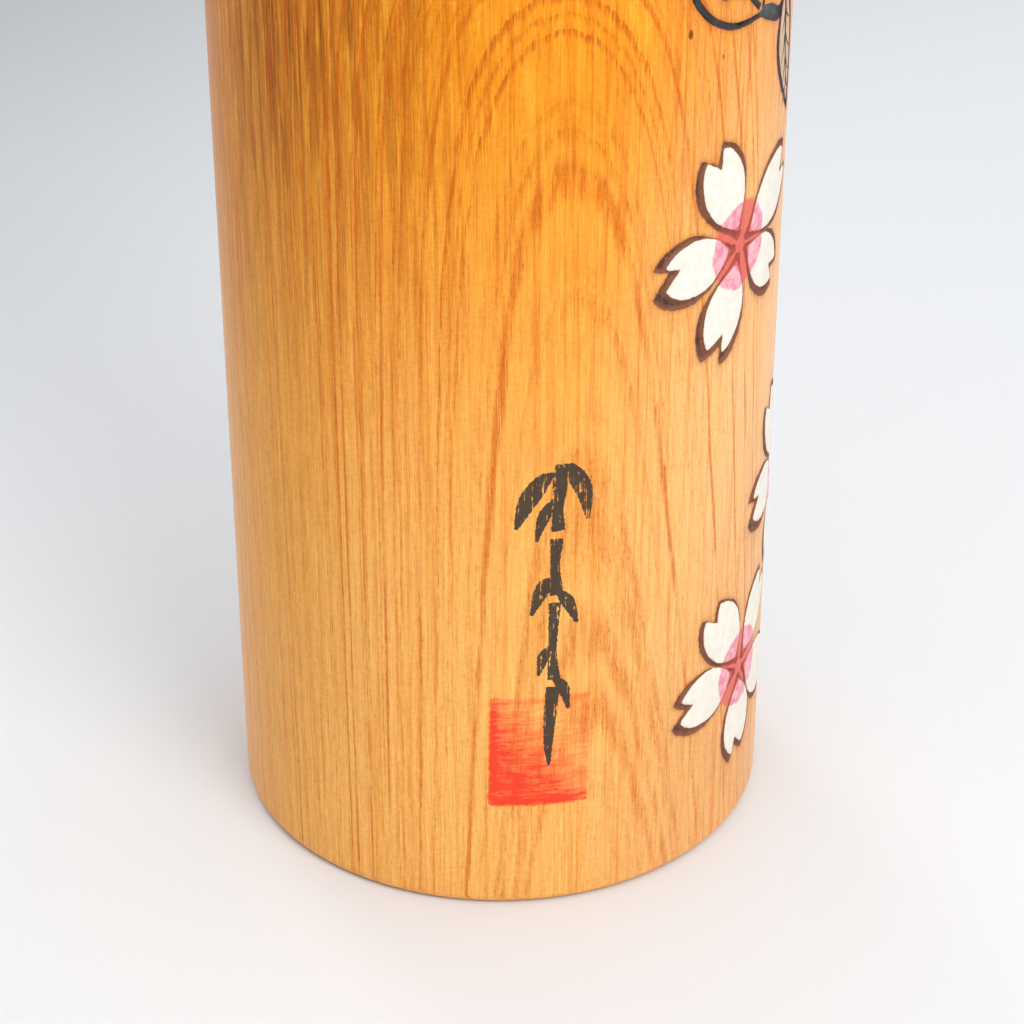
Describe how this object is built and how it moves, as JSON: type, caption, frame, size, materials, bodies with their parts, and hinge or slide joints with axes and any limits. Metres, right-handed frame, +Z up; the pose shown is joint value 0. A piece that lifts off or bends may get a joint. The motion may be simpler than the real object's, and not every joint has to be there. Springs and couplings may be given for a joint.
{
  "type": "kokeshi doll",
  "caption": "Turned wooden kokeshi doll: a straight cylindrical body with carved, painted blossoms and a round head that turns on a neck peg.",
  "frame": {"origin": "centre of the flat base, on the surface that the doll stands on", "axes": "+Z up along the turning axis of body and head; the face looks along -Y; +X is to the right of a viewer who faces the doll"},
  "size_m": [0.088, 0.087, 0.2383],
  "materials": {
    "body_wood": "oiled and waxed ring-porous hardwood, satin, straight and cathedral grain",
    "peg_wood": "bare close-grained dowel",
    "head_wood": "pale close-grained wood, waxed, satin",
    "hair_lacquer": "black lacquer over turned and scribed wood, satin",
    "burnt_line": "carved groove darkened by burning, matte",
    "white_paint": "thick chalky white paint",
    "pink_paint": "thin pink wash",
    "green_paint": "thin grey-green wash",
    "brush_ink": "dry-brushed black ink",
    "stamp_ink": "worn red stamp ink"
  },
  "bodies": {
    "body": {"body": "body_wood"},
    "head": {"head": "head_wood", "neck_peg": "peg_wood"}
  },
  "joints": [
    {"name": "head_turn", "type": "hinge", "parent": "body", "child": "head", "pos_m": [0, 0, 0.162], "axis": [0, 0, 1], "continuous": true}
  ]
}
